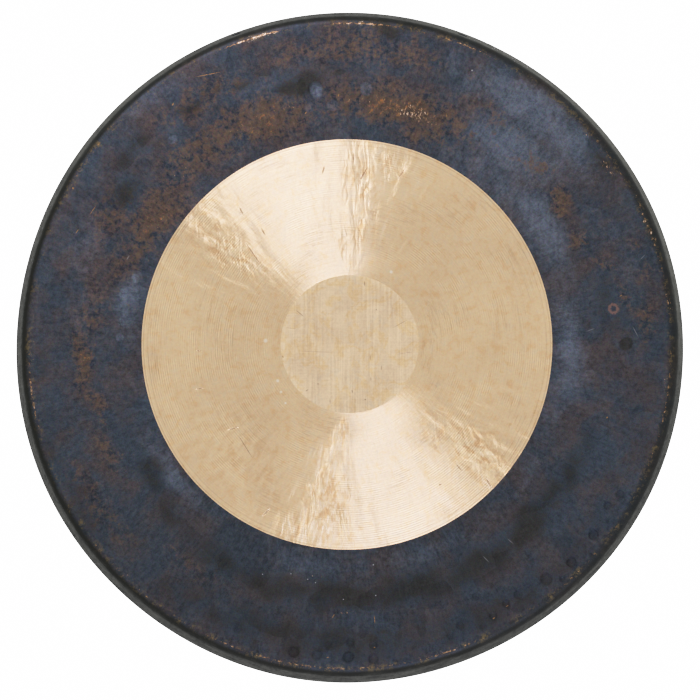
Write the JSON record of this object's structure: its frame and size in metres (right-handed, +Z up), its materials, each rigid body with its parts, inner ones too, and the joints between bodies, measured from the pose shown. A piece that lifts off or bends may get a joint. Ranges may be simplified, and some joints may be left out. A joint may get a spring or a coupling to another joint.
{
  "type": "gong",
  "caption": "Hand-hammered bronze chau gong with a turned-back rim, lathed ring and brushed centre, hung by cord holes in the rim and struck to sound.",
  "frame": {"origin": "middle of the gong's bounding box: on the plate's axis, halfway between the front of the face and the rim's back edge", "axes": "+Y along the gong's axis, from the struck face to the back; +Z up as it hangs, towards the middle between the two cord holes; +X to the right seen from the front"},
  "size_m": [0.6082, 0.0414, 0.6118],
  "materials": {
    "bronze": "hammered tin bronze with a dark blue-grey oxide skin, a bright lathed ring round a brushed centre spot, and worn golden edges"
  },
  "bodies": {
    "root": {"gong_disc": "bronze"}
  },
  "joints": []
}
